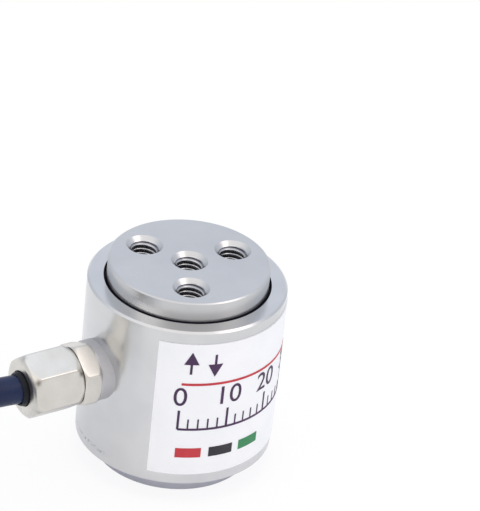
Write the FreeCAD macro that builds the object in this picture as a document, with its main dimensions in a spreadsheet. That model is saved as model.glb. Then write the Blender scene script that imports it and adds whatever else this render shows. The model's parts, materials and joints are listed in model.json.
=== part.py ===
import FreeCAD, Part
import math
import os

import Sketcher
from FreeCAD import Placement, Rotation, Vector

# Miniature load cell: a turned spring element in a stainless sleeve, with a cable gland on its side.
# The load axis is Z, the origin is the centre of the base land's underside, and the cable leaves along -X.
# Lengths are in millimetres and angles in degrees.

DIMENSIONS = {
    # sleeve
    "sleeve_diameter": 20.0,
    "sleeve_wall": 1.6,
    "sleeve_height": 18.0,
    "sleeve_edge": 0.2,
    # spring element: base land, flange in the sleeve, gauged neck and loading disc
    "base_diameter": 16.2,
    "base_height": 2.0,
    "base_edge": 0.15,
    "neck_diameter": 6.0,
    "neck_fillet": 1.2,
    "flat_count": 4,
    "flat_depth": 0.6,
    "disc_gap": 0.3,
    "disc_stand": 2.1,
    "disc_edge": 0.12,
    # tapped holes, drawn at the thread's major diameter, with what is left under their drill points
    "bolt_circle": 10.2,
    "bolt_count": 3,
    "thread_diameter": 3.0,
    "thread_depth": 4.5,
    "drill_angle": 118.0,
    "countersink_width": 0.36,
    "hole_floor": 0.6,
    # soft seal in the gap between disc and rim
    "seal_recess": 0.9,
    "seal_height": 1.2,
    "seal_hollow": 0.08,
    # strain gauges and their wires
    "gauge_length": 3.4,
    "gauge_width": 2.4,
    "gauge_thickness": 0.1,
    "gauge_tab_inset": 0.3,
    "bridge_wire_diameter": 0.2,
    "bridge_wire_spacing": 1.8,
    "bridge_wire_bend": 1.2,
    # terminal board round the neck, with its chip resistors
    "board_thickness": 0.6,
    "board_clearance": 0.3,
    "slot_clearance": 0.1,
    "resistor_length": 1.6,
    "resistor_width": 0.8,
    "resistor_height": 0.45,
    # cable and its conductors
    "cable_diameter": 2.9,
    "cable_clearance": 0.1,
    "conductor_diameter": 0.4,
    "conductor_spacing": 0.8,
    "conductor_pitch": 0.7,
    "conductor_straight": 0.3,
    # cable gland: walls outwards from the cable, then lengths along the gland's axis
    "seal_wall": 0.5,
    "gland_wall": 0.35,
    "spigot_wall": 0.5,
    "ring_section": 0.5,
    "collar_wall": 0.3,
    "hex_wall": 0.65,
    "mouth_clearance": 0.3,
    "mouth_flare": 0.1,
    "lip_clearance": 0.02,
    "nut_face_width": 0.75,
    "spigot_reach": 0.4,
    "collar_stand": 1.0,
    "collar_edge": 0.15,
    "hex_length": 1.85,
    "hex_turn": -4.0,
    "hex_edge": 0.3,
    "gland_thread_length": 3.3,
    "seal_seat_depth": 1.6,
    "seal_stand": 0.2,
    "lip_stand": 0.55,
    "lip_bend": 0.6,
    "lip_relief": 0.1,
    "washer_thickness": 0.35,
    "washer_clearance": 0.05,
    "nut_gap": 0.05,
    "nut_front": 1.7,
    "nut_turn": 13.0,
    "nut_edge": 0.45,
    "nut_edge_length": 0.7,
    "nut_nose_length": 0.8,
    "nut_nose_bend": 1.4,
    # label on the sleeve
    "label_thickness": 0.1,
    "label_margin": 1.35,
    "label_start": 223.0,
    "label_sweep": 172.0,
    # hank: turns that fold round two lobes and are tied at the waist
    "hank_distance": 80.0,
    "hank_run": 44.0,
    "hank_columns": 3,
    "hank_layers": 4,
    "fold_radius": 9.0,
    "tie_width": 3.0,
    "tie_thickness": 0.7,
    "tie_head_length": 4.6,
    "tie_head_width": 4.2,
    "tie_head_height": 2.4,
    # far end of the cable
    "end_sleeve_diameter": 3.4,
    "end_sleeve_length": 6.0,
    "end_sleeve_overlap": 3.0,
    "lead_diameter": 0.9,
    "lead_spacing": 1.1,
    "lead_landing": 6.0,
    "lead_length": 13.0,
    "tip_diameter": 0.6,
    "tip_length": 3.0,
}

# Radii about the load axis
BORE = "(dims.sleeve_diameter / 2 - dims.sleeve_wall)"
DISC = f"({BORE} - dims.disc_gap)"
NECK = "(dims.neck_diameter / 2)"
FLAT = f"({NECK} - dims.flat_depth)"
BOARD_INNER = f"({NECK} + dims.neck_fillet + dims.board_clearance)"
BOARD_OUTER = f"({BORE} - dims.board_clearance)"
BOARD_MIDDLE = f"(({BOARD_INNER} + {BOARD_OUTER}) / 2)"

# Angle from one gauge to the next, and the board's slot halfway between two of them
GAUGE_STEP = "(360 / dims.flat_count)"
SLOT_DIRECTION = f"({GAUGE_STEP} / 2)"

# Sizes of a tapped hole
THREAD = "(dims.thread_diameter / 2)"
COUNTERSINK = f"({THREAD} + dims.countersink_width)"
HOLE_DEPTH = f"(dims.thread_depth + {THREAD} / tan(dims.drill_angle / 2))"

# Heights along the load axis
RIM = "(dims.base_height + dims.sleeve_height)"
TOP = f"({RIM} + dims.disc_stand)"
DISC_UNDERSIDE = f"({TOP} - {HOLE_DEPTH} - dims.hole_floor)"
FLANGE_TOP = f"({HOLE_DEPTH} + dims.hole_floor)"
BOARD_TOP = f"({FLANGE_TOP} + dims.board_thickness)"
GAUGE_MIDDLE = f"(({FLANGE_TOP} + {DISC_UNDERSIDE}) / 2)"
SEAL_TOP = f"({RIM} - dims.seal_recess)"
SEAL_BOTTOM = f"({SEAL_TOP} - dims.seal_height)"
GLAND_HEIGHT = f"(({FLANGE_TOP} + {SEAL_BOTTOM}) / 2)"

# Radii about the gland's axis
CABLE = "(dims.cable_diameter / 2)"
CABLE_BORE = f"({CABLE} + dims.cable_clearance)"
SEAL_SEAT = f"({CABLE} + dims.seal_wall)"
GLAND_THREAD = f"({SEAL_SEAT} + dims.gland_wall)"
SPIGOT = f"({GLAND_THREAD} + dims.spigot_wall)"
RING_RECESS = f"({GLAND_THREAD} + dims.ring_section)"
COLLAR = f"({RING_RECESS} + dims.collar_wall)"
HEX_CORNER = f"(({GLAND_THREAD} + dims.hex_wall) / cos(30))"
BEYOND_HEX = f"(2 * {HEX_CORNER})"
MOUTH = f"({CABLE} + dims.mouth_clearance)"
LIP = f"({MOUTH} - dims.lip_clearance)"
NUT_FACE = f"({MOUTH} + dims.nut_face_width)"

# Distances along the gland's axis, from the load axis outwards
SPIGOT_END = f"({BORE} - dims.spigot_reach)"
COLLAR_END = "(dims.sleeve_diameter / 2 + dims.collar_stand)"
HEX_END = f"({COLLAR_END} + dims.hex_length)"
THREAD_END = f"({HEX_END} + dims.gland_thread_length)"
SEAT_END = f"({THREAD_END} - dims.seal_seat_depth)"
WASHER_START = f"({THREAD_END} + dims.seal_stand)"
WASHER_END = f"({WASHER_START} + dims.washer_thickness)"
NUT_START = f"({HEX_END} + dims.nut_gap)"
NUT_END = f"({WASHER_END} + dims.nut_front)"
FLARE_START = f"({NUT_END} - dims.mouth_flare)"

# Outline of the hank: lobes of one radius, joined by waist arcs of another
HANK_LOBE = "(dims.fold_radius + (dims.hank_columns - 0.5) * dims.cable_diameter)"
HANK_EYE = "(dims.fold_radius - dims.cable_diameter / 2)"
HANK_WAIST = "(dims.hank_columns * dims.cable_diameter)"
HANK_HEIGHT = "(dims.hank_layers * dims.cable_diameter)"
WAIST_BEND = (
    f"(((dims.hank_run / 2)^2 + {HANK_WAIST}^2 - {HANK_LOBE}^2) / (2 * ({HANK_LOBE} - {HANK_WAIST})))"
)
LOBE_SHARE = f"({HANK_LOBE} / ({HANK_LOBE} + {WAIST_BEND}))"

# Share of the shorter run that a bend of the cable takes, and how far a tube's volume may be off
BEND_SHARE = 0.45
VOLUME_TOLERANCE = 0.01

os.makedirs("parts", exist_ok=True)
doc = FreeCAD.newDocument("load_cell")
sheet = doc.addObject("Spreadsheet::Sheet", "dims")
for row, (alias, size) in enumerate(DIMENSIONS.items(), start=1):
    sheet.set(f"A{row}", alias)
    sheet.set(f"B{row}", str(size))
    sheet.setAlias(f"B{row}", alias)
doc.recompute()
pieces = []


def number(expression):
    """The value of an expression over the sheet."""
    return float(sheet.evalExpression(expression))


def keep(piece, label):
    """Names a finished piece and lists it for writing."""
    piece.Label = label
    pieces.append(piece)
    return piece


def body_for(label):
    body = doc.addObject("PartDesign::Body", label)
    return keep(body, label)


def along_gland(piece):
    """Turns a piece so that its own Z runs outwards along the gland's axis and its own X points up."""
    piece.Placement = Placement(Vector(0, 0, 0), Rotation(Vector(0, 1, 0), -90))
    piece.setExpression("Placement.Base.z", GLAND_HEIGHT)
    return piece


def gland_body_for(label):
    return along_gland(body_for(label))


def turn_about_load_axis(piece, angle):
    piece.Placement = Placement(Vector(0, 0, 0), Rotation(Vector(0, 0, 1), number(angle)))
    piece.setExpression("Placement.Rotation.Angle", angle)


def origin_feature(body, role):
    return next(feature for feature in body.Origin.OriginFeatures if feature.Role == role)


def sketch_on(body, plane, name, offset=None, turn=None):
    """A sketch on one of the body's own origin planes, moved along and turned about the plane's normal."""
    sketch = body.newObject("Sketcher::SketchObject", f"{body.Name}_{name}")
    sketch.AttachmentSupport = (origin_feature(body, plane), [""])
    sketch.MapMode = "FlatFace"
    if turn:
        sketch.AttachmentOffset = Placement(Vector(0, 0, 0), Rotation(Vector(0, 0, 1), number(turn)))
        sketch.setExpression("AttachmentOffset.Rotation.Angle", turn)
    if offset:
        sketch.setExpression("AttachmentOffset.Base.z", offset)
    return sketch


def bind_constraint(sketch, constraint, expression):
    index = sketch.addConstraint(constraint)
    sketch.setExpression(f"Constraints[{index}]", expression)


def bind_point(sketch, geometry, position, x, y):
    """Holds a point of the sketch at two expressions; "0" puts it on the axis."""
    if x == "0":
        sketch.addConstraint(Sketcher.Constraint("PointOnObject", geometry, position, -2))
    else:
        bind_constraint(sketch, Sketcher.Constraint("DistanceX", -1, 1, geometry, position, number(x)), x)
    if y == "0":
        sketch.addConstraint(Sketcher.Constraint("PointOnObject", geometry, position, -1))
    else:
        bind_constraint(sketch, Sketcher.Constraint("DistanceY", -1, 1, geometry, position, number(y)), y)


def arc_between(start, end, radius, side):
    """The short arc from start to end; it bulges to the left of the way for side 1, to the right for -1."""
    way = end - start
    left = Vector(-way.y, way.x, 0).normalize()
    depth = math.sqrt(radius**2 - (way.Length / 2) ** 2)
    centre = (start + end) / 2 - left * side * depth
    first, last = (end, start) if side > 0 else (start, end)
    angles = [math.atan2(point.y - centre.y, point.x - centre.x) for point in (first, last)]
    return Part.ArcOfCircle(Part.Circle(centre, Vector(0, 0, 1), radius), *angles)


def outline(sketch, corners):
    """A closed outline through corners (x, y); a corner (x, y, radius, side) starts an arc, not a line."""
    points = [Vector(number(corner[0]), number(corner[1]), 0) for corner in corners]
    ends = []
    for index, corner in enumerate(corners):
        start = points[index]
        end = points[(index + 1) % len(points)]
        if len(corner) == 2:
            geometry = sketch.addGeometry(Part.LineSegment(start, end), False)
            ends.append((geometry, 1, 2))
        else:
            radius, side = corner[2:]
            geometry = sketch.addGeometry(arc_between(start, end, number(radius), side), False)
            bind_constraint(sketch, Sketcher.Constraint("Radius", geometry, number(radius)), radius)
            ends.append((geometry, 2, 1) if side > 0 else (geometry, 1, 2))
    for index, (geometry, first, last) in enumerate(ends):
        follower, follower_first, _ = ends[(index + 1) % len(ends)]
        sketch.addConstraint(Sketcher.Constraint("Coincident", geometry, last, follower, follower_first))
        bind_point(sketch, geometry, first, *corners[index][:2])
    return sketch


def rectangle(sketch, left, right, low, high):
    return outline(sketch, [(left, low), (right, low), (right, high), (left, high)])


def circle(sketch, x, y, radius):
    centre = Vector(number(x), number(y), 0)
    geometry = sketch.addGeometry(Part.Circle(centre, Vector(0, 0, 1), number(radius)), False)
    bind_constraint(sketch, Sketcher.Constraint("Radius", geometry, number(radius)), radius)
    bind_point(sketch, geometry, 3, x, y)
    return sketch


def hexagon(sketch, corner_radius):
    """A regular hexagon about the sketch's origin, with a corner on its X axis."""
    corners = [
        (f"{corner_radius} * cos({angle})", "0" if angle % 180 == 0 else f"{corner_radius} * sin({angle})")
        for angle in range(0, 360, 60)
    ]
    return outline(sketch, corners)


def feature(body, kind, sketch, name, **settings):
    """A feature made from a sketch. Text settings are expressions, apart from the side it grows to."""
    made = body.newObject(f"PartDesign::{kind}", f"{body.Name}_{name}")
    made.Profile = sketch
    for setting, value in settings.items():
        if isinstance(value, str) and setting != "SideType":
            made.setExpression(setting, value)
        else:
            setattr(made, setting, value)
    doc.recompute()
    return made


def turn_about(body, kind, sketch, name, axis="V_Axis", **settings):
    """A revolved feature about an axis of its sketch, a full turn unless Angle says otherwise."""
    return feature(body, kind, sketch, name, ReferenceAxis=(sketch, [axis]), **{"Angle": 360.0, **settings})


def polar_copies(body, original, count, name):
    """Copies of a feature, evenly spaced about the body's Z axis."""
    pattern = body.newObject("PartDesign::PolarPattern", f"{body.Name}_{name}")
    pattern.Originals = [original]
    pattern.Axis = (origin_feature(body, "Z_Axis"), [""])
    pattern.Angle = 360.0
    pattern.setExpression("Occurrences", count)
    body.Tip = pattern
    doc.recompute()
    return pattern


def check_cut(body, before, what):
    """Stops if the last feature took nothing away."""
    if body.Shape.Volume >= before:
        raise RuntimeError(f"{what} cut nothing from {body.Label}")


def turned(body, corners):
    """A turned solid from its half section, given as (radius, height) corners."""
    return turn_about(body, "Revolution", outline(sketch_on(body, "XZ_Plane", "section"), corners), "turned")


def groove(body, name, corners):
    """Turns away a half section, given as (radius, height) corners."""
    before = body.Shape.Volume
    turn_about(body, "Groove", outline(sketch_on(body, "XZ_Plane", name), corners), f"{name}_cut")
    check_cut(body, before, name)


# Spring element


def tapped_hole(body, name, centre, mouth, inwards):
    """A blind tapped hole with countersink and drill point; inwards is -1 from the top, 1 from below."""
    before = body.Shape.Volume
    wall_start = f"({mouth}) + {inwards} * dims.countersink_width"
    wall_end = f"({mouth}) + {inwards} * dims.thread_depth"
    point_end = f"({mouth}) + {inwards} * {HOLE_DEPTH}"

    def beside(distance):
        return distance if centre == "0" else f"{centre} + {distance}"

    sketch = sketch_on(body, "XZ_Plane", name)
    outline(
        sketch,
        [
            (centre, point_end),
            (beside(THREAD), wall_end),
            (beside(THREAD), wall_start),
            (beside(COUNTERSINK), mouth),
            (centre, mouth),
        ],
    )
    axis = sketch.addGeometry(
        Part.LineSegment(Vector(number(centre), 0, 0), Vector(number(centre), number(TOP), 0)), True
    )
    bind_point(sketch, axis, 1, centre, "0")
    bind_point(sketch, axis, 2, centre, TOP)
    hole = turn_about(body, "Groove", sketch, f"{name}_cut", axis="Axis0")
    check_cut(body, before, name)
    return hole


def make_spring_element():
    """One turned piece: base land, flange, neck with milled flats, and loading disc, tapped at both ends."""
    body = body_for("spring_element")
    fillet = "dims.neck_fillet"
    turned(
        body,
        [
            ("0", "0"),
            ("dims.base_diameter / 2 - dims.base_edge", "0"),
            ("dims.base_diameter / 2", "dims.base_edge"),
            ("dims.base_diameter / 2", "dims.base_height"),
            (BORE, "dims.base_height"),
            (BORE, FLANGE_TOP),
            (f"{NECK} + {fillet}", FLANGE_TOP, fillet, -1),
            (NECK, f"{FLANGE_TOP} + {fillet}"),
            (NECK, f"{DISC_UNDERSIDE} - {fillet}", fillet, -1),
            (f"{NECK} + {fillet}", DISC_UNDERSIDE),
            (DISC, DISC_UNDERSIDE),
            (DISC, f"{TOP} - dims.disc_edge"),
            (f"{DISC} - dims.disc_edge", TOP),
            ("0", TOP),
        ],
    )
    before = body.Shape.Volume
    sketch = sketch_on(body, "XZ_Plane", "flat")
    rectangle(sketch, FLAT, f"{NECK} + {fillet}", f"{FLANGE_TOP} + {fillet}", f"{DISC_UNDERSIDE} - {fillet}")
    flat = feature(body, "Pocket", sketch, "flat_cut", Length="dims.neck_diameter", SideType="Symmetric")
    check_cut(body, before, "flat")
    polar_copies(body, flat, "dims.flat_count", "flats")
    for name, mouth, inwards in (("top", TOP, -1), ("base", "0", 1)):
        tapped_hole(body, f"{name}_centre", "0", mouth, inwards)
        hole = tapped_hole(body, f"{name}_bolt", "dims.bolt_circle / 2", mouth, inwards)
        polar_copies(body, hole, "dims.bolt_count", f"{name}_bolts")
    return body


# Housing


def make_housing_sleeve():
    """A turned tube with broken edges and a hole for the cable boss."""
    body = body_for("housing_sleeve")
    outer = "dims.sleeve_diameter / 2"
    edge = "dims.sleeve_edge"
    turned(
        body,
        [
            (BORE, "dims.base_height"),
            (f"{outer} - {edge}", "dims.base_height"),
            (outer, f"dims.base_height + {edge}"),
            (outer, f"{RIM} - {edge}"),
            (f"{outer} - {edge}", RIM),
            (BORE, RIM),
        ],
    )
    before = body.Shape.Volume
    sketch = circle(sketch_on(body, "YZ_Plane", "entry"), "0", GLAND_HEIGHT, SPIGOT)
    feature(body, "Pocket", sketch, "entry_cut", Length="dims.sleeve_diameter")
    check_cut(body, before, "entry")
    if body.Shape.Solids[0].CenterOfMass.x < 0:
        raise RuntimeError("the cable entry is on the wrong side of the sleeve")
    return body


def make_gap_seal():
    """A soft ring in the gap between disc and rim, with a hollow upper face."""
    body = body_for("gap_seal")
    hollow = "(dims.disc_gap^2 / 4 + dims.seal_hollow^2) / (2 * dims.seal_hollow)"
    turned(body, [(DISC, SEAL_BOTTOM), (BORE, SEAL_BOTTOM), (BORE, SEAL_TOP, hollow, 1), (DISC, SEAL_TOP)])
    return body


def make_label():
    """A sticker wrapped round the sleeve, between margins at its two ends."""
    body = body_for("label")
    sketch = rectangle(
        sketch_on(body, "XZ_Plane", "section"),
        "dims.sleeve_diameter / 2",
        "dims.sleeve_diameter / 2 + dims.label_thickness",
        "dims.base_height + dims.label_margin",
        f"{RIM} - dims.label_margin",
    )
    turn_about(body, "Revolution", sketch, "wrapped", Angle="dims.label_sweep")
    turn_about_load_axis(body, "dims.label_start")
    return body


# Gauges, board and wires inside the sleeve


def box_on_circle(label, length, width, height, radius, angle, floor):
    """A block that stands out from a circle about the load axis, its length along the radius at an angle."""
    box = doc.addObject("Part::Box", label)
    for side, size in (("Length", length), ("Width", width), ("Height", height)):
        box.setExpression(side, size)
    turn_about_load_axis(box, angle)
    box.setExpression("Placement.Base.x", f"{radius} * cos({angle}) + {width} / 2 * sin({angle})")
    box.setExpression("Placement.Base.y", f"{radius} * sin({angle}) - {width} / 2 * cos({angle})")
    box.setExpression("Placement.Base.z", floor)
    return keep(box, label)


def gauge_places():
    return range(int(number("dims.flat_count")))


def make_gauges():
    """One foil gauge on each flat of the neck."""
    for place in gauge_places():
        box_on_circle(
            f"strain_gauge_{place + 1}",
            "dims.gauge_thickness",
            "dims.gauge_width",
            "dims.gauge_length",
            FLAT,
            f"({place} * {GAUGE_STEP})",
            f"{GAUGE_MIDDLE} - dims.gauge_length / 2",
        )


def make_terminal_board():
    """A ring board glued on the flange, with a slot that lets it slide round the neck."""
    body = body_for("terminal_board")
    sketch = sketch_on(body, "XY_Plane", "ring", offset=FLANGE_TOP)
    circle(sketch, "0", "0", BOARD_OUTER)
    circle(sketch, "0", "0", BOARD_INNER)
    feature(body, "Pad", sketch, "plate", Length="dims.board_thickness")
    before = body.Shape.Volume
    half = f"({NECK} + dims.slot_clearance)"
    slot = sketch_on(body, "XY_Plane", "slot", offset=BOARD_TOP)
    rectangle(slot, "0", BOARD_OUTER, f"-{half}", half)
    feature(body, "Pocket", slot, "slot_cut", Length="dims.board_thickness")
    check_cut(body, before, "slot")
    turn_about_load_axis(body, SLOT_DIRECTION)
    return body


def make_resistors():
    """Chip resistors on the board, each halfway between two gauges."""
    names = ("zero_resistor", "span_resistor", "temperature_resistor")
    for place, name in enumerate(names, start=1):
        box_on_circle(
            name,
            "dims.resistor_width",
            "dims.resistor_length",
            "dims.resistor_height",
            f"({BOARD_MIDDLE} - dims.resistor_width / 2)",
            f"({SLOT_DIRECTION} + {place} * {GAUGE_STEP})",
            BOARD_TOP,
        )


def bent_wire(start, heading, reach, bend, drop, diameter):
    """A round wire that runs level along heading, bends down and ends after a drop."""
    down = Vector(0, 0, -1)
    bend_start = start + heading * (reach - bend)
    centre = bend_start + down * bend
    bend_middle = centre + (heading - down).normalize() * bend
    bend_end = centre + heading * bend
    foot = start + heading * reach + down * drop
    path = Part.Wire(
        [
            Part.LineSegment(start, bend_start).toShape(),
            Part.Arc(bend_start, bend_middle, bend_end).toShape(),
            Part.LineSegment(bend_end, foot).toShape(),
        ]
    )
    section = Part.Wire(Part.Circle(start, heading, diameter / 2).toShape())
    return path.makePipeShell([section], True, True)


def shape_piece(label, shape):
    piece = doc.addObject("Part::Feature", label)
    piece.Shape = shape
    return keep(piece, label)


def make_bridge_wires():
    """Two fine wires from each gauge's tabs, out and down to the board."""
    face = number(f"{FLAT} + dims.gauge_thickness")
    start_height = number(f"{GAUGE_MIDDLE} - dims.gauge_length / 2 + dims.gauge_tab_inset")
    reach = number(BOARD_MIDDLE) - face
    drop = start_height - number(BOARD_TOP)
    half = number("dims.bridge_wire_spacing / 2")
    bend = number("dims.bridge_wire_bend")
    diameter = number("dims.bridge_wire_diameter")
    wires = []
    for place in gauge_places():
        turn = Rotation(Vector(0, 0, 1), place * number(GAUGE_STEP))
        for side in (-1, 1):
            start = turn.multVec(Vector(face, side * half, start_height))
            heading = turn.multVec(Vector(1, 0, 0))
            wires.append(bent_wire(start, heading, reach, bend, drop, diameter))
    return shape_piece("bridge_wires", Part.makeCompound(wires))


def make_conductors():
    """Four cores from the end of the jacket to the board; the upper two come down further in."""
    inwards = Vector(1, 0, 0)
    half = number("dims.conductor_spacing / 2")
    diameter = number("dims.conductor_diameter")
    upper_foot = number(BOARD_INNER) + diameter / 2
    lower_foot = upper_foot + number("dims.conductor_pitch")
    for colour, side, level, foot in (
        ("red", -1, 1, upper_foot),
        ("black", 1, 1, upper_foot),
        ("green", -1, -1, lower_foot),
        ("white", 1, -1, lower_foot),
    ):
        start = Vector(-number(SPIGOT_END), side * half, number(GLAND_HEIGHT) + level * half)
        reach = number(SPIGOT_END) - foot
        bend = reach - number("dims.conductor_straight")
        drop = start.z - number(BOARD_TOP)
        shape_piece(f"conductor_{colour}", bent_wire(start, inwards, reach, bend, drop, diameter))


# Cable gland


def make_cable_boss():
    """A round collar shaped to the sleeve, with a spigot through its wall and a threaded bore."""
    body = gland_body_for("cable_boss")
    edge = "dims.collar_edge"
    turned(
        body,
        [
            ("0", BORE),
            (COLLAR, BORE),
            (COLLAR, f"{COLLAR_END} - {edge}"),
            (f"{COLLAR} - {edge}", COLLAR_END),
            ("0", COLLAR_END),
        ],
    )
    before = body.Shape.Volume
    saddle = circle(sketch_on(body, "YZ_Plane", "saddle"), "0", "0", "dims.sleeve_diameter / 2")
    feature(body, "Pocket", saddle, "saddle_cut", Length=f"4 * {COLLAR}", SideType="Symmetric")
    check_cut(body, before, "saddle")
    spigot = circle(sketch_on(body, "XY_Plane", "spigot", offset=SPIGOT_END), "0", "0", SPIGOT)
    feature(body, "Pad", spigot, "spigot_pad", Length=f"{COLLAR_END} - {SPIGOT_END}")
    recess = f"{COLLAR_END} - dims.ring_section"
    groove(
        body,
        "bore",
        [
            ("0", SPIGOT_END),
            (GLAND_THREAD, SPIGOT_END),
            (GLAND_THREAD, recess),
            (RING_RECESS, recess),
            (RING_RECESS, COLLAR_END),
            ("0", COLLAR_END),
        ],
    )
    return body


def make_gland_ring():
    """The ring that seals the gland's thread, in the collar's recess."""
    ring = along_gland(doc.addObject("Part::Torus", "gland_ring"))
    ring.setExpression("Radius1", f"{GLAND_THREAD} + dims.ring_section / 2")
    ring.setExpression("Radius2", "dims.ring_section / 2")
    ring.setExpression("Placement.Base.x", f"dims.ring_section / 2 - {COLLAR_END}")
    return keep(ring, "gland_ring")


def make_gland_body():
    """A hexagon between two threaded ends, bored for the cable and counterbored for its seal."""
    body = gland_body_for("gland_body")
    turned(
        body,
        [
            (CABLE_BORE, SPIGOT_END),
            (GLAND_THREAD, SPIGOT_END),
            (GLAND_THREAD, THREAD_END),
            (SEAL_SEAT, THREAD_END),
            (SEAL_SEAT, SEAT_END),
            (CABLE_BORE, SEAT_END),
        ],
    )
    plate = hexagon(sketch_on(body, "XY_Plane", "hexagon", COLLAR_END, "dims.hex_turn"), HEX_CORNER)
    circle(plate, "0", "0", GLAND_THREAD)
    feature(body, "Pad", plate, "hexagon_pad", Length="dims.hex_length")
    edge = "dims.hex_edge"
    for name, face, inwards in (("back_edge", COLLAR_END, "+"), ("front_edge", HEX_END, "-")):
        groove(
            body,
            name,
            [
                (f"{HEX_CORNER} - {edge}", face),
                (HEX_CORNER, f"{face} {inwards} {edge}"),
                (BEYOND_HEX, f"{face} {inwards} {edge}"),
                (BEYOND_HEX, face),
            ],
        )
    return body


def make_cable_seal():
    """A rubber bush squeezed in the gland's seat, with a lip that swells out of the nut's mouth."""
    body = gland_body_for("cable_seal")
    turned(
        body,
        [
            (CABLE, SEAT_END),
            (SEAL_SEAT, SEAT_END),
            (SEAL_SEAT, WASHER_START),
            (LIP, WASHER_START),
            (LIP, NUT_END, "dims.lip_bend", -1),
            (f"{CABLE} + dims.lip_relief", f"{NUT_END} + dims.lip_stand"),
            (CABLE, f"{NUT_END} + dims.lip_stand - dims.lip_relief"),
        ],
    )
    return body


def make_thrust_washer():
    """A flat washer between the nut's shoulder and the bush."""
    body = gland_body_for("thrust_washer")
    outer = f"{GLAND_THREAD} - dims.washer_clearance"
    turned(body, [(LIP, WASHER_START), (outer, WASHER_START), (outer, WASHER_END), (LIP, WASHER_END)])
    return body


def make_gland_nut():
    """A long hexagon nut with a rounded nose, threaded behind its shoulder."""
    body = gland_body_for("gland_nut")
    plate = hexagon(sketch_on(body, "XY_Plane", "hexagon", NUT_START, "dims.nut_turn"), HEX_CORNER)
    feature(body, "Pad", plate, "hexagon_pad", Length=f"{NUT_END} - {NUT_START}")
    nose_start = f"{NUT_END} - dims.nut_nose_length"
    beyond = f"{NUT_END} + dims.nut_nose_length"
    groove(
        body,
        "nose",
        [
            (HEX_CORNER, nose_start, "dims.nut_nose_bend", -1),
            (NUT_FACE, NUT_END),
            (NUT_FACE, beyond),
            (BEYOND_HEX, beyond),
            (BEYOND_HEX, nose_start),
        ],
    )
    groove(
        body,
        "back_edge",
        [
            (f"{HEX_CORNER} - dims.nut_edge", NUT_START),
            (BEYOND_HEX, NUT_START),
            (BEYOND_HEX, f"{NUT_START} + dims.nut_edge_length"),
            (HEX_CORNER, f"{NUT_START} + dims.nut_edge_length"),
        ],
    )
    groove(
        body,
        "bore",
        [
            ("0", NUT_START),
            (GLAND_THREAD, NUT_START),
            (GLAND_THREAD, WASHER_END),
            (MOUTH, WASHER_END),
            (MOUTH, FLARE_START),
            (f"{MOUTH} + dims.mouth_flare", NUT_END),
            ("0", NUT_END),
        ],
    )
    return body


def make_cable_entry():
    """The stretch of cable that the gland holds, from the stripped end inside to the nut's mouth."""
    stretch = along_gland(doc.addObject("Part::Cylinder", "cable_entry"))
    stretch.setExpression("Radius", CABLE)
    stretch.setExpression("Height", f"{NUT_END} - {SPIGOT_END}")
    stretch.setExpression("Placement.Base.x", f"-{SPIGOT_END}")
    return keep(stretch, "cable_entry")


# Free cable, put away in a hank


def rounded_path(points):
    """Straight runs joined by tangent arcs, each as large as its runs allow, and the arcs' radii."""
    runs = [(after - before).Length for before, after in zip(points, points[1:])]
    ways = [(after - before).normalize() for before, after in zip(points, points[1:])]
    edges = []
    radii = []
    start = points[0]
    for index, corner in enumerate(points[1:-1]):
        turn = ways[index].getAngle(ways[index + 1])
        tangent = BEND_SHARE * min(runs[index], runs[index + 1])
        radius = tangent / math.tan(turn / 2)
        arc_start = corner - ways[index] * tangent
        arc_end = corner + ways[index + 1] * tangent
        inwards = (ways[index + 1] - ways[index]).normalize()
        arc_middle = corner + inwards * (radius / math.cos(turn / 2) - radius)
        edges.append(Part.LineSegment(start, arc_start).toShape())
        edges.append(Part.Arc(arc_start, arc_middle, arc_end).toShape())
        radii.append(radius)
        start = arc_end
    edges.append(Part.LineSegment(start, points[-1]).toShape())
    return Part.Wire(edges), radii


def tube(points, diameter, name):
    """A round tube along a rounded path; its volume is compared with its section times its length."""
    path, radii = rounded_path(points)
    print(name, "bend radii", [round(radius, 1) for radius in radii])
    section = Part.Wire(Part.Circle(points[0], points[1] - points[0], diameter / 2).toShape())
    shape = path.makePipeShell([section], True, False)
    wanted = math.pi * diameter**2 / 4 * path.Length
    if abs(shape.Volume - wanted) > VOLUME_TOLERANCE * wanted:
        raise RuntimeError(f"the volume of {name} differs from its section times its length")
    return shape


def tie_hole(sketch):
    """The inside of the tie's band."""
    half = f"({HANK_WAIST} - dims.tie_thickness)"
    return rectangle(sketch, f"-{half}", half, "dims.tie_thickness", f"{HANK_HEIGHT} - dims.tie_thickness")


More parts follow.
